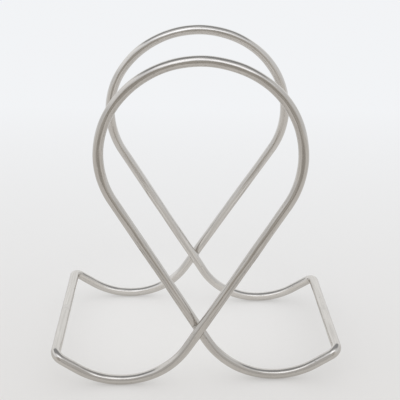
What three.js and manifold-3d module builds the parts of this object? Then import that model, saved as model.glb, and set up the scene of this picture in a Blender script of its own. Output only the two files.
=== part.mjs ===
// Wire napkin holder: two ribbon shaped frames of round steel wire stand face to face,
// and their ends meet half way along two side bars. Napkins stand between the frames.
// Millimetres, +Z up, the front frame towards -Y, the feet on Z = 0, the origin midway between the feet.

import * as THREE from "three";
import { mergeVertices } from "three/addons/utils/BufferGeometryUtils.js";
import Module from "manifold-3d";

const wasm = await Module();
wasm.setup();

// Wire
const wireDiameter = 4.1;
const wireSides = 16;

// Shape of one frame seen from the front, along the centre line of the wire
const frameHeight = 138.0;
const topRadius = 40.0;
const topHalfAngle = THREE.MathUtils.degToRad(57);
const shoulderRadius = 35.0;
const strandAngle = THREE.MathUtils.degToRad(31.4);
const bowRadius = 32.4;
const bowRise = THREE.MathUtils.degToRad(33.3);
const tailLength = 7.6;
const cornerRadius = 3.5;

// How the two frames stand: their distance at the floor, and how far each leans in towards the other
const frameSpacing = 69.4;
const frameLean = THREE.MathUtils.degToRad(2.7);

// Welds
const weldGap = 0.3;
const crossingWeldSpread = 0.7;
const crossingWeldThickness = 2.6;
const barWeldLength = 2.4;
const barWeldCrown = 0.05;

// Fineness of the round surfaces
const degreesPerStep = 6;
const degreesPerCornerStep = 13;
const weldSides = 32;

const wireRadius = wireDiameter / 2;
const wireCornerRadius = wireRadius / Math.cos(Math.PI / wireSides);
const strandOffset = (wireDiameter + weldGap) / 2;
const leanSlope = Math.tan(frameLean);
const yAxis = new THREE.Vector3(0, 1, 0);

const stepsFor = (angle, degrees) => Math.max(1, Math.round(THREE.MathUtils.radToDeg(angle) / degrees));

// The step at the lowest point of a bow is level, and its underside is the foot that touches the floor
const footHalfAngle = THREE.MathUtils.degToRad(degreesPerStep / 2);
const footCentreHeight = wireRadius - (bowRadius + wireRadius) * (1 - Math.cos(footHalfAngle));

// Half a frame, from the middle of the top to a corner, as a pen that walks straight or turns left.
// Each place has its x and z, its heading from +X, and how far along the loop it is (1 past the loop).
function walkHalfFrame() {
  const shoulderAngle = Math.PI / 2 + strandAngle - topHalfAngle;
  const loopLength = topRadius * topHalfAngle + shoulderRadius * shoulderAngle;
  const pen = { x: 0, z: frameHeight - wireRadius, heading: Math.PI, walked: 0 };
  const places = [];
  const mark = () => places.push({ ...pen, along: Math.min(1, pen.walked / loopLength) });
  const straight = (length) => {
    pen.x += length * Math.cos(pen.heading);
    pen.z += length * Math.sin(pen.heading);
    pen.walked += length;
    mark();
  };
  const turn = (radius, angle) => {
    pen.x += radius * (Math.sin(pen.heading + angle) - Math.sin(pen.heading));
    pen.z -= radius * (Math.cos(pen.heading + angle) - Math.cos(pen.heading));
    pen.heading += angle;
    pen.walked += radius * angle;
    mark();
  };
  const arc = (radius, angle) => {
    const steps = stepsFor(angle, degreesPerStep);
    for (let step = 0; step < steps; step++) turn(radius, angle / steps);
  };

  mark();
  arc(topRadius, topHalfAngle);
  arc(shoulderRadius, shoulderAngle);
  const bowDrop = bowRadius * (1 - Math.sin(strandAngle));
  straight((pen.z - footCentreHeight - bowDrop) / Math.cos(strandAngle));
  arc(bowRadius, Math.PI / 2 - strandAngle - footHalfAngle);
  turn(bowRadius, 2 * footHalfAngle);
  arc(bowRadius, bowRise - footHalfAngle);
  straight(tailLength);
  return { places, loopLength };
}

const { places: halfFrame, loopLength } = walkHalfFrame();

// A frame's middle plane leans, and over the loop the wire swings from the outer to the inner side of it,
// so that its two strands pass each other where they cross. The swing eases in and out.
const planeDepth = (z) => z * leanSlope - frameSpacing / 2;
const swing = (along) => (strandOffset * along * (3 - along * along)) / 2;
const swingRate = (along) => (strandOffset * 3 * (1 - along * along)) / 2 / loopLength;

// Wire stations from the middle of the top to the end at a bar's weld. side is 1 for the front frame and
// -1 for the rear one; hand is 1 for the half that ends on the right and -1 for the left.
function halfWire(side, hand) {
  const stations = halfFrame.map((place) => {
    const depth = planeDepth(place.z) + hand * swing(place.along);
    const depthRate = Math.sin(place.heading) * leanSlope + hand * swingRate(place.along);
    const point = new THREE.Vector3(hand * place.x, side * depth, place.z);
    const heading = [hand * Math.cos(place.heading), side * depthRate, Math.sin(place.heading)];
    const tangent = new THREE.Vector3(...heading).normalize();
    return { point, tangent, across: yAxis.clone().cross(tangent).normalize() };
  });

  // The corner bend turns the tail into the side bar
  const tail = stations.at(-1);
  const barWay = yAxis.clone().multiplyScalar(side);
  const cornerAngle = tail.tangent.angleTo(barWay);
  const inwards = barWay.clone().addScaledVector(tail.tangent, -barWay.dot(tail.tangent)).normalize();
  const cornerSteps = stepsFor(cornerAngle, degreesPerCornerStep);
  for (let step = 1; step <= cornerSteps; step++) {
    const angle = (cornerAngle * step) / cornerSteps;
    const point = tail.point.clone();
    point.addScaledVector(tail.tangent, cornerRadius * Math.sin(angle));
    point.addScaledVector(inwards, cornerRadius * (1 - Math.cos(angle)));
    const tangent = tail.tangent.clone().multiplyScalar(Math.cos(angle));
    tangent.addScaledVector(inwards, Math.sin(angle));
    stations.push({ point, tangent, across: tail.across });
  }
  const barEnd = stations.at(-1).point.clone().setY(-side * (barWeldLength / 2 + weldGap));
  stations.push({ point: barEnd, tangent: barWay, across: tail.across });
  return stations;
}

// A path through ready made stations, each with its own cross-section plane
class WirePath extends THREE.Curve {
  constructor(stations) {
    super();
    this.stations = stations;
  }

  getPointAt(share) {
    return this.stations[Math.round(share * (this.stations.length - 1))].point.clone();
  }

  computeFrenetFrames() {
    const tangents = this.stations.map((station) => station.tangent);
    const normals = this.stations.map((station) => station.across);
    const binormals = tangents.map((tangent, index) => tangent.clone().cross(normals[index]));
    return { tangents, normals, binormals };
  }
}

// Wire section, round but for its facets, with one flat square to the station's across direction
function wireSection() {
  const points = [];
  for (let corner = 0; corner < wireSides; corner++) {
    const angle = ((corner + 0.5) * 2 * Math.PI) / wireSides;
    points.push(new THREE.Vector2(Math.cos(angle), Math.sin(angle)).multiplyScalar(wireCornerRadius));
  }
  return new THREE.Shape(points);
}

function frameWire(side) {
  const left = halfWire(side, -1).reverse();
  const right = halfWire(side, 1).slice(1);
  for (const station of left) {
    station.tangent = station.tangent.clone().negate();
    station.across = station.across.clone().negate();
  }
  const path = new WirePath([...left, ...right]);
  const steps = path.stations.length - 1;
  return new THREE.ExtrudeGeometry(wireSection(), { steps, extrudePath: path, bevelEnabled: false });
}

// Closed solids for cuts, and back
function solidOf(geometry) {
  const bare = geometry.clone();
  bare.deleteAttribute("normal");
  bare.deleteAttribute("uv");
  const merged = mergeVertices(bare);
  const vertProperties = Float32Array.from(merged.attributes.position.array);
  const triVerts = Uint32Array.from(merged.index.array);
  return new wasm.Manifold(new wasm.Mesh({ numProp: 3, vertProperties, triVerts }));
}

function geometryOf(solid) {
  const mesh = solid.getMesh();
  const geometry = new THREE.BufferGeometry();
  geometry.setAttribute("position", new THREE.BufferAttribute(mesh.vertProperties, 3));
  geometry.setIndex(new THREE.BufferAttribute(mesh.triVerts, 1));
  geometry.computeVertexNormals();
  return geometry;
}

// The stretch of the half frame that passes the frame's middle below the loop, where the strands cross
function crossingStretch() {
  const next = halfFrame.findIndex((place, index) => index > 0 && place.x >= 0 && halfFrame[index - 1].x < 0);
  const above = halfFrame[next - 1];
  const below = halfFrame[next];
  const height = THREE.MathUtils.mapLinear(0, above.x, below.x, above.z, below.z);
  return { height, run: below.x - above.x, drop: above.z - below.z };
}

// Spot weld squeezed out round the place where two strands of one frame cross
function crossingWeld(side) {
  const { height, run, drop } = crossingStretch();
  const depth = planeDepth(height);
  const weldRadius = wireRadius + crossingWeldSpread;
  const nugget = new THREE.SphereGeometry(weldRadius, weldSides, weldSides / 2);
  nugget.scale(1, crossingWeldThickness / 2 / weldRadius, 1);
  nugget.translate(0, side * depth, height);

  const clearRadius = wireCornerRadius + weldGap;
  const strands = [-1, 1].map((hand) => {
    const way = new THREE.Vector3(-hand * run, side * drop * leanSlope, drop).normalize();
    const strand = new THREE.CylinderGeometry(clearRadius, clearRadius, 4 * weldRadius, weldSides);
    strand.applyQuaternion(new THREE.Quaternion().setFromUnitVectors(yAxis, way));
    strand.translate(0, side * (depth + hand * strandOffset), height);
    return solidOf(strand);
  });
  return geometryOf(strands.reduce((weld, strand) => weld.subtract(strand), solidOf(nugget)));
}

// Butt weld in the middle of a side bar, a short barrel that stands slightly proud of the wire
function barWeld(hand) {
  const bar = halfWire(1, hand).at(-1).point;
  const crownSteps = 6;
  const profile = [new THREE.Vector2(0, -barWeldLength / 2)];
  for (let step = 0; step <= crownSteps; step++) {
    const share = step / crownSteps;
    const crown = barWeldCrown * Math.sin(Math.PI * share);
    profile.push(new THREE.Vector2(wireRadius + crown, barWeldLength * (share - 0.5)));
  }
  profile.push(new THREE.Vector2(0, barWeldLength / 2));
  return new THREE.LatheGeometry(profile, weldSides).translate(bar.x, 0, bar.z);
}

// Bright drawn steel wire, and the slightly duller steel of the welds
const wireSteel = () => new THREE.MeshStandardMaterial({ color: 0xb5b2ac, metalness: 1, roughness: 0.22 });
const weldSteel = () => new THREE.MeshStandardMaterial({ color: 0xa39f99, metalness: 1, roughness: 0.38 });

function piece(name, geometry, material) {
  const mesh = new THREE.Mesh(geometry, material);
  mesh.name = name;
  return mesh;
}

const napkinHolder = new THREE.Group();
napkinHolder.name = "napkin_holder";
napkinHolder.add(
  piece("front_frame_wire", frameWire(1), wireSteel()),
  piece("rear_frame_wire", frameWire(-1), wireSteel()),
  piece("front_crossing_weld", crossingWeld(1), weldSteel()),
  piece("rear_crossing_weld", crossingWeld(-1), weldSteel()),
  piece("left_bar_weld", barWeld(-1), weldSteel()),
  piece("right_bar_weld", barWeld(1), weldSteel()),
);

export default napkinHolder;
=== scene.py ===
import bpy
import numpy as np
from mathutils import Matrix


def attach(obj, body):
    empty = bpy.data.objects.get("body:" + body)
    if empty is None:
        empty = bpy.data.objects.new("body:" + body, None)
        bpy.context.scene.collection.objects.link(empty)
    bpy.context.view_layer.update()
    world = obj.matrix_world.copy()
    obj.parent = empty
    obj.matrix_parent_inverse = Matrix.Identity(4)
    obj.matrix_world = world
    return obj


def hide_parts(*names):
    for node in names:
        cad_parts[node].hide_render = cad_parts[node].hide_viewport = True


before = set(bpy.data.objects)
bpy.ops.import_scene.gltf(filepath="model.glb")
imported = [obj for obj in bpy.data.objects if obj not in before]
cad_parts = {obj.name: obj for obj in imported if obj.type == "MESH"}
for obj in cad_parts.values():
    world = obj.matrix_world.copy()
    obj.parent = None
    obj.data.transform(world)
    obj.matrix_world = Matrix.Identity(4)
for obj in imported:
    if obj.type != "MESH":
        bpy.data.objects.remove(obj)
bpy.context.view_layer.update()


# Frame wires
# Each frame is one length of bright drawn steel wire, about four millimetres thick, bent cold round pins
# to the shape of a ribbon. Its two ends turn the corners at the feet and meet the other frame's ends half
# way along the side bars.

wire_radius = 0.00205
wire_sides = 48
frame_height = 0.1380
top_radius = 0.0400
top_half_angle = np.radians(57.0)
shoulder_radius = 0.0350
strand_angle = np.radians(31.4)
bow_radius = 0.0324
bow_rise = np.radians(33.3)
tail_length = 0.0076
corner_radius = 0.0035
frame_spacing = 0.0694
lean_slope = np.tan(np.radians(2.7))
strand_offset = 0.00220
bar_gap = 0.0015

ribbon_stations = 420
corner_steps = 30
bar_steps = 16
last_step_share = 0.001


def half_ribbon(stations):
    """Half a frame from the front, from the middle of the top to the end of the tail.

    The wire is a chain of links, straight or bent to one radius. A piece of a link that is u long and
    turns by a moves u sinc(a / 2) along its mean heading, which is a straight's length or an arc's chord.
    Returns x, z, the heading, the share of the half loop walked so far and the half loop's length.
    """
    shoulder_angle = np.pi / 2 + strand_angle - top_half_angle
    bow_angle = np.pi / 2 - strand_angle + bow_rise
    turns = np.array([top_half_angle, shoulder_angle, 0.0, bow_angle, 0.0])
    first_headings = np.pi + np.concatenate([[0.0], np.cumsum(turns)[:-1]])
    lengths = np.array([top_radius, shoulder_radius, 0.0, bow_radius, 0.0]) * turns
    chords = lengths * np.sinc(turns / 2 / np.pi)
    loop_fall = -(chords * np.sin(first_headings + turns / 2))[:2].sum()
    strand_top = frame_height - wire_radius - loop_fall
    strand_foot = wire_radius + bow_radius * (1 - np.sin(strand_angle))
    lengths[2] = (strand_top - strand_foot) / np.cos(strand_angle)
    lengths[4] = tail_length

    chords = lengths * np.sinc(turns / 2 / np.pi)
    mean_headings = first_headings + turns / 2
    first_x = np.concatenate([[0.0], np.cumsum(chords * np.cos(mean_headings))[:-1]])
    first_z = np.concatenate([[0.0], np.cumsum(chords * np.sin(mean_headings))[:-1]])
    first_walk = np.concatenate([[0.0], np.cumsum(lengths)[:-1]])

    walk = np.linspace(0.0, lengths.sum(), stations)
    link = np.searchsorted(first_walk, walk, side="right") - 1
    into = walk - first_walk[link]
    turned = into * (turns / lengths)[link]
    chord = into * np.sinc(turned / 2 / np.pi)
    mean_heading = first_headings[link] + turned / 2
    x = first_x[link] + chord * np.cos(mean_heading)
    z = frame_height - wire_radius + first_z[link] + chord * np.sin(mean_heading)
    loop_length = lengths[:2].sum()
    along_loop = np.minimum(1.0, walk / loop_length)
    return x, z, first_headings[link] + turned, along_loop, loop_length


def unit(vectors):
    """Vectors divided by their lengths."""
    return vectors / np.linalg.norm(vectors, axis=-1, keepdims=True)


def half_wire(side, hand):
    """Centre line of half a frame, out to just short of the middle of a side bar.

    The ribbon stands in a plane that leans inwards, and over the loop it swings from the outer to the
    inner side of that plane as t (3 - t^2) / 2, so that the strands pass each other. A circular corner
    then turns the tail into the bar, whose last step is very short and keeps the edge of its end sharp.
    side is 1 at the front and -1 at the rear; hand is 1 on the right and -1 on the left. Returns points,
    directions, one axis of each section and a share that is 1 half way round the corner and 0 outside it.
    """
    x, z, heading, along, loop_length = half_ribbon(ribbon_stations)
    swing = strand_offset * along * (3 - along ** 2) / 2
    swing_rate = strand_offset * 3 * (1 - along ** 2) / 2 / loop_length
    depth = z * lean_slope - frame_spacing / 2 + hand * swing
    depth_rate = np.sin(heading) * lean_slope + hand * swing_rate
    ribbon = np.stack([hand * x, side * depth, z], axis=1)
    ribbon_way = unit(np.stack([hand * np.cos(heading), side * depth_rate, np.sin(heading)], axis=1))
    ribbon_across = unit(np.cross([0.0, 1.0, 0.0], ribbon_way))

    tail_end = ribbon[-1]
    tail_way = ribbon_way[-1]
    tail_across = ribbon_across[-1]
    bar_way = np.array([0.0, side, 0.0])
    corner_angle = np.arccos(tail_way @ bar_way)
    inwards = unit(bar_way - tail_way * (tail_way @ bar_way))
    turned = np.linspace(0.0, corner_angle, corner_steps + 1)[1:, None]
    corner = tail_end + corner_radius * (np.sin(turned) * tail_way + (1 - np.cos(turned)) * inwards)
    corner_way = np.cos(turned) * tail_way + np.sin(turned) * inwards

    bar_end = corner[-1] * [1.0, 0.0, 1.0] - [0.0, side * bar_gap, 0.0]
    to_end = np.append(np.linspace(0.0, 1.0 - last_step_share, bar_steps + 1)[1:], 1.0)[:, None]
    bar = corner[-1] + to_end * (bar_end - corner[-1])
    points = np.concatenate([ribbon, corner, bar])
    ways = np.concatenate([ribbon_way, corner_way, np.tile(bar_way, (len(bar), 1))])
    across = np.concatenate([ribbon_across, np.tile(tail_across, (len(corner) + len(bar), 1))])
    in_corner = np.sin(np.pi * np.clip(turned[:, 0] / corner_angle, 0.0, 1.0)) ** 2
    corner_share = np.concatenate([np.zeros(len(ribbon)), in_corner, np.zeros(len(bar))])
    return points, ways, across, corner_share


def smooth_step(value, low, high):
    """Share that rises from 0 at low to 1 at high as s^2 (3 - 2 s)."""
    share = np.clip((value - low) / (high - low), 0.0, 1.0)
    return share ** 2 * (3 - 2 * share)


sway = 0.00034
sway_height = 0.082
sway_reach = 0.042
foot_slip = 0.00062
foot_set_back = 0.0006
slip_from_x = -0.004
slip_full_x = 0.014
slip_full_z = 0.005
slip_to_z = 0.040
bulge = 0.00032
bulge_middle = np.array([0.029, 0.124])
bulge_reach = 0.027
bulge_way = np.array([0.57, 0.82])
bulge_front_gain = 0.4


def out_of_true(points):
    """Points moved to where springy wire really ends up, by up to a millimetre.

    Half way up, the front frame sways to the left and the rear one to the right. At the foot of the right
    hand side, the front foot slips outwards and the rear one inwards and back. The loops bulge at the
    upper right, the front one more. Each move fades as a smooth step away from its place.
    """
    x, y, z = np.moveaxis(points, -1, 0)
    rearwards = y / (frame_spacing / 2)
    swayed = sway * (1 - smooth_step(np.abs(z - sway_height), 0.0, sway_reach))
    right_foot = smooth_step(x, slip_from_x, slip_full_x) * (1 - smooth_step(z, slip_full_z, slip_to_z))
    off_bulge = np.hypot(x - bulge_middle[0], z - bulge_middle[1])
    bulged = bulge * (1 - bulge_front_gain * rearwards) * (1 - smooth_step(off_bulge, 0.0, bulge_reach))
    along_x = rearwards * (swayed - foot_slip * right_foot) + bulge_way[0] * bulged
    along_y = foot_set_back * np.clip(rearwards, 0.0, 1.0) ** 2 * right_foot
    return points + np.stack([along_x, along_y, bulge_way[1] * bulged], axis=-1)


def waver(around, walk):
    """How far drawn wire is out of round, as a share of its radius: three slow waves that wind round it.

    A wave is depth sin(lobes a + 2 pi z / length + phase) at the angle a and the distance z along it.
    """
    lobes = np.array([2, 2, 3])
    lengths = np.array([0.034, -0.021, 0.015])
    phases = np.array([0.4, 2.1, 4.0])
    depths = np.array([0.010, 0.009, 0.005])
    turns = lobes * around[..., None] + 2 * np.pi * walk[..., None] / lengths + phases
    return (depths * np.sin(turns)).sum(axis=-1)


corner_flattening = 0.035
waver_fade = 0.006
bar_tone_end = 0.037
bar_tone_fade = 0.010


def frame_wire(side):
    """Rings of a whole frame wire, its points unrolled to a straight wire, and their share of a side bar.

    A ring is the circle r (cos a, sin a) in the section axes, a little out of round. In the corners it is
    flatter in the plane of the bend and wider across it, as bent wire is. The unrolled point has the
    distance along the wire as its z, and the share falls from 1 to 0 past the bar as a smooth step. The
    left half is turned round, so that the wire runs from its left end to its right end.
    """
    right_points, right_ways, right_across, right_corner = half_wire(side, 1)
    left_points, left_ways, left_across, left_corner = half_wire(side, -1)
    points = np.concatenate([left_points[:0:-1], right_points])
    ways = np.concatenate([-left_ways[:0:-1], right_ways])
    across = np.concatenate([-left_across[:0:-1], right_across])
    corner_share = np.concatenate([left_corner[:0:-1], right_corner])[:, None]
    binormals = np.cross(ways, across)
    steps = np.linalg.norm(np.diff(points, axis=0), axis=1)
    walk = np.concatenate([[0.0], np.cumsum(steps)])[:, None]

    angles = np.linspace(0.0, 2 * np.pi, wire_sides, endpoint=False)[None]
    from_ends = np.minimum(walk, walk[-1] - walk)
    fade = np.clip(from_ends / waver_fade - 1.0, 0.0, 1.0)
    radius = wire_radius * (1 + fade * waver(angles, walk))
    wide = radius * (1 + corner_flattening * corner_share) * np.cos(angles)
    flat = radius * (1 - corner_flattening * corner_share) * np.sin(angles)
    rings = points[:, None] + wide[..., None] * across[:, None] + flat[..., None] * binormals[:, None]
    straight = np.stack([wide, flat, np.broadcast_to(walk, wide.shape)], axis=2)
    past_bar = smooth_step(from_ends, bar_tone_end, bar_tone_end + bar_tone_fade)
    return out_of_true(rings), straight, np.broadcast_to(1 - past_bar, wide.shape)


def closed_body(name, rings):
    """Closed mesh from a stack of rings: quads join each ring to the next, and flat ends close the stack.

    Rings run counterclockwise about the direction of the stack, so that all faces point outwards.
    """
    count, sides = rings.shape[:2]
    index = np.arange(count * sides).reshape(count, sides)
    ahead = np.roll(index, -1, axis=1)
    quads = np.stack([index[:-1], ahead[:-1], ahead[1:], index[1:]], axis=2).reshape(-1, 4)
    ends = [index[0, ::-1].tolist(), index[-1].tolist()]
    mesh = bpy.data.meshes.new(name)
    mesh.from_pydata(rings.reshape(-1, 3), [], quads.tolist() + ends)
    smooth = np.ones(len(mesh.polygons), dtype=bool)
    smooth[-len(ends):] = False
    mesh.polygons.foreach_set("use_smooth", smooth)
    mesh.update()
    body = bpy.data.objects.new(name, mesh)
    bpy.context.scene.collection.objects.link(body)
    return body


def add_node(tree, kind, inputs=None, **settings):
    """New shader node with its settings.

    An input that is a socket gets linked, and any other is set as a value.
    """
    node = tree.nodes.new(kind)
    for name, value in settings.items():
        setattr(node, name, value)
    for socket, value in (inputs or {}).items():
        if isinstance(value, bpy.types.NodeSocket):
            tree.links.new(value, node.inputs[socket])
        else:
            node.inputs[socket].default_value = value
    return node


def arithmetic(tree, operation, first, second=0.0):
    """Result of one operation on one or two values."""
    return add_node(tree, "ShaderNodeMath", {0: first, 1: second}, operation=operation).outputs["Value"]


def ranged(tree, value, low, high, first=0.0, last=1.0, step="LINEAR"):
    """Value carried from the range low to high into the range first to last, and held at both ends."""
    inputs = {"Value": value, "From Min": low, "From Max": high, "To Min": first, "To Max": last}
    return add_node(tree, "ShaderNodeMapRange", inputs, interpolation_type=step).outputs["Result"]


def blend(tree, share, first, second, blend_type="MIX"):
    """Colour that goes from the first to the second with the share, or gets that share of it added."""
    inputs = {"Factor": share, "A": first, "B": second}
    mix = add_node(tree, "ShaderNodeMix", inputs, data_type="RGBA", blend_type=blend_type)
    return mix.outputs["Result"]


def noise(tree, place, scale, detail, roughness=0.5):
    """Soft noise between 0 and 1 at a place."""
    inputs = {"Vector": place, "Scale": scale, "Detail": detail, "Roughness": roughness}
    return add_node(tree, "ShaderNodeTexNoise", inputs).outputs["Fac"]


def new_material(name):
    """New material and its node tree, which holds a plain shader at first."""
    material = bpy.data.materials.new(name)
    material.use_nodes = True
    return material, material.node_tree


# Tones of the wire steel. The rear wire's tones are painted paler than the front wire's, as painted light,
# and the bars' tones lie between them.
front_dull = (0.512, 0.484, 0.450, 1.0)
front_bright = (0.604, 0.575, 0.537, 1.0)
rear_dull_painted_paler = (0.560, 0.534, 0.502, 1.0)
rear_bright_painted_paler = (0.664, 0.636, 0.600, 1.0)
bar_dull = (0.540, 0.513, 0.480, 1.0)
bar_bright = (0.638, 0.611, 0.573, 1.0)
nick_tone = (0.340, 0.320, 0.296, 1.0)


def drawn_wire_steel(name, dull, bright):
    """Drawn steel between two tones: streaks from the die, duller scuffs and small nicks.

    All of them are noise on the unrolled wire, drawn out along it, and show in tone, gloss or relief. The
    rear wire's tones are painted paler than the front wire's, as painted light for its brighter
    reflections. On the side bars the tones of both wires become the same, so that they match where they
    meet.
    """
    material, tree = new_material(name)
    steel = tree.nodes["Principled BSDF"]
    straight = add_node(tree, "ShaderNodeAttribute", attribute_name="straight_wire").outputs["Vector"]
    bar_share = add_node(tree, "ShaderNodeAttribute", attribute_name="bar_share").outputs["Fac"]

    def drawn_noise(scale, drawn_out, detail):
        """Noise that is drawn out along the wire, by dividing the distance along it."""
        along = add_node(tree, "ShaderNodeMapping", {
            "Vector": straight, "Scale": (1.0, 1.0, 1.0 / drawn_out)})
        return noise(tree, along.outputs["Vector"], scale, detail, roughness=0.55)

    streaks = drawn_noise(scale=1500.0, drawn_out=22.0, detail=3.0)
    scuffs = drawn_noise(scale=650.0, drawn_out=5.0, detail=1.0)
    nicks = drawn_noise(scale=2300.0, drawn_out=2.5, detail=1.0)
    die_lines = drawn_noise(scale=5000.0, drawn_out=50.0, detail=2.0)

    dull_here = blend(tree, bar_share, dull, bar_dull)
    bright_here = blend(tree, bar_share, bright, bar_bright)
    tone = blend(tree, ranged(tree, streaks, low=0.32, high=0.68), dull_here, bright_here)
    nicked = blend(tree, ranged(tree, nicks, low=0.70, high=0.78), tone, nick_tone)
    tree.links.new(nicked, steel.inputs["Base Color"])
    wear = arithmetic(tree, "ADD", streaks, scuffs)
    roughness = ranged(tree, wear, low=0.7, high=1.3, first=0.19, last=0.11)
    tree.links.new(roughness, steel.inputs["Roughness"])
    relief = add_node(tree, "ShaderNodeBump", {
        "Height": die_lines, "Strength": 0.2, "Distance": 0.00002})
    dents = add_node(tree, "ShaderNodeBump", {
        "Height": scuffs, "Strength": 1.0, "Distance": 0.00010, "Normal": relief.outputs["Normal"]})
    tree.links.new(dents.outputs["Normal"], steel.inputs["Normal"])
    steel.inputs["Metallic"].default_value = 1.0
    return material


# The rear wire gets the steel that is painted paler, as painted light.
front_steel = drawn_wire_steel("front_wire_steel", front_dull, front_bright)
rear_steel_painted_paler = drawn_wire_steel("rear_wire_steel_painted_paler", rear_dull_painted_paler, rear_bright_painted_paler)
for side, place, wire_steel in ((1, "front", front_steel), (-1, "rear", rear_steel_painted_paler)):
    rings, straight, bar_share = frame_wire(side)
    wire = closed_body(f"{place}_wire", rings)
    attribute = wire.data.attributes.new("straight_wire", "FLOAT_VECTOR", "POINT")
    attribute.data.foreach_set("vector", straight.ravel())
    attribute = wire.data.attributes.new("bar_share", "FLOAT", "POINT")
    attribute.data.foreach_set("value", bar_share.ravel())
    wire.data.materials.append(wire_steel)
    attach(wire, "root")
    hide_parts(f"{place}_frame_wire")


# Crossing welds
# The two strands of a frame are resistance welded where they cross. The hot metal fuses between them and
# leaves a small waisted neck of steel, hardly wider than the strands' line of contact.

neck_radius = 0.0021
neck_waist = 0.0003
neck_seat = 0.00015
neck_sides = 64
disc_rings = 12
disc_middle_share = 0.05
wall_rings = 10
crossing_stations = 4000


def crossing_neck(side):
    """Rings of the weld between two strands: a spread disc in each strand, joined by a waisted wall.

    At the polar place (p, f) about the crossing, a strand's surface lies sqrt(r^2 - (p sin(f - strand))^2)
    off its axis. Each disc follows that surface just inside the strand, out to the neck's radius, and the
    wall is drawn in by a half sine. At the front the rings are turned round, to keep the faces outwards.
    """
    around = np.linspace(0.0, 2 * np.pi, neck_sides, endpoint=False)
    spread = neck_radius * np.linspace(disc_middle_share, 1.0, disc_rings)[:, None]

    def seat(lean):
        """Distance from the plane of the frame to just inside a strand that leans by an angle."""
        off_axis = spread * np.sin(around - np.pi / 2 + lean)
        return strand_offset - np.sqrt(np.maximum(wire_radius ** 2 - off_axis ** 2, 0.0)) + neck_seat

    outer = -seat(strand_angle)
    inner = seat(-strand_angle)
    share = np.linspace(0.0, 1.0, wall_rings + 2)[1:-1, None]
    wall_depth = outer[-1] + share * (inner[-1] - outer[-1])
    wall_radius = np.broadcast_to(neck_radius - neck_waist * np.sin(np.pi * share), wall_depth.shape)
    disc_radius = np.broadcast_to(spread, outer.shape)
    radius = np.concatenate([disc_radius, wall_radius, disc_radius[::-1]])
    depth = np.concatenate([outer, wall_depth, inner[::-1]])

    x, z, *_ = half_ribbon(crossing_stations)
    crossing = np.flatnonzero((x[:-1] < 0) & (x[1:] >= 0))[0]
    height = z[crossing]
    rise = radius * np.sin(around)
    plane = (height + rise) * lean_slope - frame_spacing / 2
    rings = np.stack([radius * np.cos(around), side * (plane + depth), height + rise], axis=2)
    return out_of_true(rings if side == -1 else rings[:, ::-1])


neck_dull = (0.430, 0.405, 0.370, 1.0)
neck_bright = (0.560, 0.545, 0.520, 1.0)


def ground_weld_steel():
    """Weld metal, duller than the wire.

    It has a fine even grain from tumbling, and patches of straw heat tint, both of them noise.
    """
    material, tree = new_material("ground_weld_steel")
    steel = tree.nodes["Principled BSDF"]
    place = add_node(tree, "ShaderNodeTexCoord").outputs["Object"]
    grain = noise(tree, place, scale=4000.0, detail=3.0)
    patches = noise(tree, place, scale=700.0, detail=3.0)
    tree.links.new(blend(tree, patches, neck_dull, neck_bright), steel.inputs["Base Color"])
    roughness = ranged(tree, grain, low=0.3, high=0.7, first=0.24, last=0.4)
    tree.links.new(roughness, steel.inputs["Roughness"])
    relief = add_node(tree, "ShaderNodeBump", {
        "Height": patches, "Strength": 0.3, "Distance": 0.00004})
    tree.links.new(relief.outputs["Normal"], steel.inputs["Normal"])
    steel.inputs["Metallic"].default_value = 1.0
    return material


weld_steel = ground_weld_steel()
for side, place in ((1, "front"), (-1, "rear")):
    neck = closed_body(f"{place}_crossing_neck", crossing_neck(side))
    neck.data.materials.append(weld_steel)
    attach(neck, "root")
    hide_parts(f"{place}_crossing_weld")


# Side bar welds
# Where the wire ends of the two frames meet half way along a side bar they are butt welded. The bead is
# ground back round the bar until it is almost flush, and keeps the fine scratches of the grinding belt.

band_length = 0.0060
band_crown = 0.000016
band_edge = 0.000006
band_ripple = 0.000003
ripple_lobes = 3
ripple_phase = 1.0
band_rings = 33


def bar_band(hand):
    """Rings of a ground weld round the bar: its radius swells as a squared sine between two sunk edges.

    A slight ripple goes round it, as a sine of the angle.
    """
    points, ways, across, _ = half_wire(1, hand)
    bar_middle = points[-1] * [1.0, 0.0, 1.0]
    way = ways[-1]
    wide_axis = across[-1]
    flat_axis = np.cross(way, wide_axis)
    share = np.linspace(0.0, 1.0, band_rings)[:, None]
    around = np.linspace(0.0, 2 * np.pi, wire_sides, endpoint=False)
    swell = np.sin(np.pi * share) ** 2
    ripple = band_ripple * np.sin(ripple_lobes * around + ripple_phase)
    radius = wire_radius - band_edge + (band_crown + band_edge + ripple) * swell
    outwards = np.cos(around)[:, None] * wide_axis + np.sin(around)[:, None] * flat_axis
    along = band_length * (share - 0.5)
    return out_of_true(bar_middle + radius[..., None] * outwards + along[..., None] * way)


band_dull = (0.505, 0.480, 0.449, 1.0)
band_bright = (0.640, 0.613, 0.578, 1.0)


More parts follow.
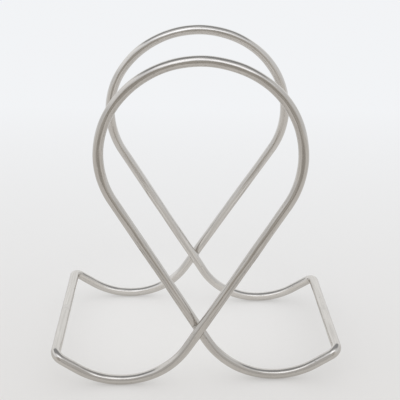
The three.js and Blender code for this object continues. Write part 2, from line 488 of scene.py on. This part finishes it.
def ground_bar_steel():
    """Wire steel with belt scratches round the bar.

    The scratches are noise that is fine along the bar and drawn out round it.
    """
    material, tree = new_material("ground_bar_steel")
    steel = tree.nodes["Principled BSDF"]
    place = add_node(tree, "ShaderNodeTexCoord").outputs["Object"]
    belt_place = add_node(tree, "ShaderNodeMapping", {"Vector": place, "Scale": (0.12, 1.0, 0.12)})
    scratches = noise(tree, belt_place.outputs["Vector"], scale=3200.0, detail=3.0)
    patches = noise(tree, place, scale=600.0, detail=2.0)
    tree.links.new(blend(tree, patches, band_dull, band_bright), steel.inputs["Base Color"])
    roughness = ranged(tree, scratches, low=0.3, high=0.7, first=0.16, last=0.26)
    tree.links.new(roughness, steel.inputs["Roughness"])
    relief = add_node(tree, "ShaderNodeBump", {
        "Height": scratches, "Strength": 0.15, "Distance": 0.00002})
    tree.links.new(relief.outputs["Normal"], steel.inputs["Normal"])
    steel.inputs["Metallic"].default_value = 1.0
    return material


bar_steel = ground_bar_steel()
for hand, place in ((-1, "left"), (1, "right")):
    band = closed_body(f"{place}_bar_band", bar_band(hand))
    band.data.materials.append(bar_steel)
    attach(band, "root")
    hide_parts(f"{place}_bar_weld")


# Studio
# A pale floor in an even light, with painted shade towards its front and a painted pool of light round the
# holder, inside a pale tent that is open along the top. Only for the metal's reflections there are a light
# panel over the tent's front edge, a dim screen in front and low pale cards before each frame. The camera
# sees none of these sheets.

floor_half = 8.0
# Floor colours with painted shade and light: darker and warmer at the front, lighter and cooler at the
# back.
shaded_floor_front = (0.750, 0.737, 0.722, 1.0)
lit_floor_back = (0.890, 0.902, 0.920, 1.0)
# Colour and middle of a painted pool of light on the floor, where the wires throw light.
painted_thrown_light = (1.0, 1.0, 0.98, 1.0)
painted_light_place = (-0.012, 0.012, 0.0)
underlight_share = 0.4


def flat_sheet(name, corners):
    """Flat face through its corners, as an object of its own in the scene."""
    mesh = bpy.data.meshes.new(name)
    mesh.from_pydata(corners, [], [range(len(corners))])
    sheet = bpy.data.objects.new(name, mesh)
    bpy.context.scene.collection.objects.link(sheet)
    return sheet


def seen_in_reflections_only(sheet):
    """Hides a studio sheet from the camera and from the light on the floor."""
    sheet.visible_camera = False
    sheet.visible_diffuse = False
    sheet.visible_shadow = False


def eased(tree, value, low, high, first=0.0, last=1.0):
    """Value carried from the range low to high into the range first to last as a smooth step."""
    return ranged(tree, value, low, high, first, last, "SMOOTHSTEP")


def object_place(tree):
    """Place on the sheet, and its three parts."""
    place = add_node(tree, "ShaderNodeTexCoord").outputs["Object"]
    return place, add_node(tree, "ShaderNodeSeparateXYZ", {"Vector": place}).outputs


def matte_floor():
    """Matt pale paper with painted light in its colour: painted shade makes it darker towards the front,
    and a painted pool of light lies where the wires throw light on it.

    A good part of it is lit from below, so that shadows stay faint.
    """
    material, tree = new_material("matte_floor")
    paper = tree.nodes["Principled BSDF"]
    place, parts = object_place(tree)
    # Painted falloff of the light: the paper is painted darker towards the front.
    painted_falloff = blend(tree, ranged(tree, parts["Y"], low=-0.12, high=0.36), shaded_floor_front, lit_floor_back)
    # Painted pool of light: the paper's colour is lifted near the holder.
    from_painted_light = add_node(
        tree, "ShaderNodeVectorMath", {0: place, 1: painted_light_place}, operation="DISTANCE").outputs["Value"]
    painted_light_share = eased(tree, from_painted_light, low=0.02, high=0.085, first=0.045, last=0.0)
    colour = blend(tree, painted_light_share, painted_falloff, painted_thrown_light, "ADD")
    tree.links.new(colour, paper.inputs["Base Color"])
    paper.inputs["Roughness"].default_value = 0.9
    paper.inputs["Specular IOR Level"].default_value = 0.0
    underlight = add_node(tree, "ShaderNodeEmission", {"Color": colour, "Strength": 1.0})
    mixed = add_node(tree, "ShaderNodeMixShader", {
        "Fac": underlight_share, 1: paper.outputs["BSDF"], 2: underlight.outputs["Emission"]})
    tree.links.new(mixed.outputs["Shader"], tree.nodes["Material Output"].inputs["Surface"])
    return material


floor = flat_sheet("floor", [
    (-floor_half, -floor_half, 0.0), (floor_half, -floor_half, 0.0),
    (floor_half, floor_half, 0.0), (-floor_half, floor_half, 0.0)])
floor.data.materials.append(matte_floor())

screen_foot = -0.28
screen_slope = 0.29
screen_outline = np.array([
    (-0.40, 0.0), (-0.40, 0.08), (-0.19, 0.185), (-0.10, 0.205), (0.03, 0.205),
    (0.13, 0.255), (0.17, 0.220), (0.40, 0.06), (0.40, 0.0)])
screen_middle = -0.035
screen_band_height = 0.076
screen_dim = (0.430, 0.410, 0.383, 1.0)
screen_pale = (0.79, 0.78, 0.76, 1.0)
dim_screen = flat_sheet("dim_screen", np.insert(
    screen_outline, 1, screen_foot + screen_slope * screen_outline[:, 1], axis=1).tolist())


def screen_glow():
    """Faint light of the room's dark side: dim and a little warm.

    It is paler to both ends, to the top and in a level band low down.
    """
    material, tree = new_material("screen_glow")
    _, parts = object_place(tree)
    from_middle = arithmetic(tree, "SUBTRACT", parts["X"], screen_middle)
    sideways = arithmetic(tree, "ABSOLUTE", from_middle)
    over_band = arithmetic(tree, "SUBTRACT", parts["Z"], screen_band_height)
    off_band = arithmetic(tree, "ABSOLUTE", over_band)
    end_share = eased(tree, sideways, low=0.12, high=0.30)
    top_share = eased(tree, parts["Z"], low=0.13, high=0.24, last=0.5)
    band_share = eased(tree, off_band, low=0.0, high=0.03, first=0.5, last=0.0)
    pale_share = arithmetic(tree, "MAXIMUM", top_share, band_share)
    with_ends = blend(tree, end_share, screen_dim, screen_pale)
    colour = blend(tree, pale_share, with_ends, screen_pale)
    glow = add_node(tree, "ShaderNodeEmission", {"Color": colour})
    tree.links.new(glow.outputs["Emission"], tree.nodes["Material Output"].inputs["Surface"])
    return material


dim_screen.data.materials.append(screen_glow())
seen_in_reflections_only(dim_screen)

card_ahead = 0.035
card_inner = 0.018
card_outer = 0.058
card_height = 0.037
middle_card_height = 0.060
card_tone = (0.99, 0.985, 0.975, 1.0)


def card_glow(name, low_strength, top_strength, lift_start, lift_end):
    """Glow of a low card: brighter towards its top as a smooth step, and only on its side to the frame."""
    material, tree = new_material(name)
    _, parts = object_place(tree)
    strength = eased(tree, parts["Z"], lift_start, lift_end, low_strength, top_strength)
    glow = add_node(tree, "ShaderNodeEmission", {"Color": card_tone, "Strength": strength})
    clear = add_node(tree, "ShaderNodeBsdfTransparent")
    far_side = add_node(tree, "ShaderNodeNewGeometry").outputs["Backfacing"]
    one_sided = add_node(tree, "ShaderNodeMixShader", {
        "Fac": far_side, 1: glow.outputs["Emission"], 2: clear.outputs["BSDF"]})
    tree.links.new(one_sided.outputs["Shader"], tree.nodes["Material Output"].inputs["Surface"])
    return material


front_depth = -frame_spacing / 2 - card_ahead
rear_depth = frame_spacing / 2 - card_ahead
front_glow = card_glow(
    "front_card_glow", low_strength=0.60, top_strength=0.90, lift_start=0.028, lift_end=0.044)
rear_glow = card_glow(
    "rear_card_glow", low_strength=0.82, top_strength=0.97, lift_start=0.014, lift_end=0.036)
middle_glow = card_glow(
    "middle_card_glow", low_strength=0.70, top_strength=0.75, lift_start=0.010, lift_end=0.050)
for name, depth, right_end, left_end, height, glow in (
        ("front_left_card", front_depth, -card_inner, -card_outer, card_height, front_glow),
        ("front_right_card", front_depth, card_outer, card_inner, card_height, front_glow),
        ("rear_left_card", rear_depth, -card_inner, -card_outer, card_height, rear_glow),
        ("rear_right_card", rear_depth, card_outer, card_inner, card_height, rear_glow),
        ("rear_middle_card", rear_depth, card_inner, -card_inner, middle_card_height, middle_glow)):
    card = flat_sheet(name, [
        (right_end, depth, 0.0), (left_end, depth, 0.0),
        (left_end, depth, height), (right_end, depth, height)])
    card.data.materials.append(glow)
    seen_in_reflections_only(card)

panel_half = 0.40
panel_height = 0.43
panel_front = -0.54
panel_back_right = -0.250
panel_back_left = -0.110
panel_tone = (0.96, 0.99, 1.05, 1.0)
light_panel = flat_sheet("light_panel", [
    (-panel_half, panel_front, panel_height), (panel_half, panel_front, panel_height),
    (panel_half, panel_back_right, panel_height), (-panel_half, panel_back_left, panel_height)])


def panel_glow():
    """Glow of the light panel: bright in the middle and dimmer to both ends, as a smooth step."""
    material, tree = new_material("panel_glow")
    _, parts = object_place(tree)
    sideways = arithmetic(tree, "ABSOLUTE", parts["X"])
    strength = eased(tree, sideways, low=0.13, high=0.30, first=1.82, last=1.10)
    glow = add_node(tree, "ShaderNodeEmission", {"Color": panel_tone, "Strength": strength})
    tree.links.new(glow.outputs["Emission"], tree.nodes["Material Output"].inputs["Surface"])
    return material


light_panel.data.materials.append(panel_glow())
seen_in_reflections_only(light_panel)

tent_sides = (0.805, 0.82, 0.84, 1.0)
tent_back = (1.06, 1.08, 1.10, 1.0)
tent_left = (1.08, 1.10, 1.13, 1.0)
tent_open_top = (0.365, 0.378, 0.395, 1.0)
even_white = (1.0, 1.0, 1.0, 1.0)


def studio_sky():
    """World light by direction: a pale tent with a dimmer open top, and for the floor an even white.

    The tent is lighter behind the holder and at the upper left. Its top is open between its two side
    walls and between two angles of climb, counted from the front over the top to the back.
    """
    world = bpy.data.worlds.new("studio_sky")
    world.use_nodes = True
    world.cycles.sampling_method = "NONE"
    tree = world.node_tree
    way = add_node(tree, "ShaderNodeTexCoord").outputs["Generated"]
    parts = add_node(tree, "ShaderNodeSeparateXYZ", {"Vector": way}).outputs

    forwards = arithmetic(tree, "MULTIPLY", parts["Y"], -1.0)
    leftwards = arithmetic(tree, "MULTIPLY", parts["X"], -1.0)
    climb = arithmetic(tree, "ARCTAN2", parts["Z"], forwards)
    sideways = arithmetic(tree, "ABSOLUTE", parts["X"])
    past_front = eased(tree, climb, low=np.radians(80.0), high=np.radians(86.0))
    past_back = eased(tree, climb, low=np.radians(132.0), high=np.radians(138.0))
    between = arithmetic(tree, "SUBTRACT", past_front, past_back)
    within = eased(tree, sideways, low=0.64, high=0.73, first=1.0, last=0.0)
    open_top = arithmetic(tree, "MULTIPLY", within, between)
    to_back = eased(tree, parts["Y"], low=0.3, high=0.9)
    to_left = eased(tree, leftwards, low=0.4, high=0.85)
    raised = eased(tree, parts["Z"], low=0.2, high=0.36)
    upper_left = arithmetic(tree, "MULTIPLY", to_left, raised)
    walls = blend(tree, to_back, tent_sides, tent_back)
    tent = blend(tree, upper_left, walls, tent_left)
    seen = blend(tree, open_top, tent, tent_open_top)

    path = add_node(tree, "ShaderNodeLightPath")
    lit = blend(tree, path.outputs["Is Diffuse Ray"], seen, even_white)
    tree.links.new(lit, tree.nodes["Background"].inputs["Color"])
    return world


bpy.context.scene.world = studio_sky()
bpy.context.scene.view_settings.view_transform = "Standard"


# Camera
# A lens of about 73 mm on a full frame, a third of a metre from the holder. It looks down on it by 23
# degrees, from a little to the left.

lens = bpy.data.cameras.new("camera")
lens.lens = 73.1
lens.sensor_width = 36.0
lens.clip_start = 0.01
lens.clip_end = 50.0
camera = bpy.data.objects.new("camera", lens)
bpy.context.scene.collection.objects.link(camera)
camera_place = Matrix.Translation((-0.00938, -0.32043, 0.20665))
camera_turn = Matrix.Rotation(np.radians(-1.84), 4, "Z")
camera_tilt = Matrix.Rotation(np.radians(90.0 - 23.303), 4, "X")
camera_roll = Matrix.Rotation(np.radians(1.21), 4, "Z")
camera.matrix_world = camera_place @ camera_turn @ camera_tilt @ camera_roll
bpy.context.scene.camera = camera
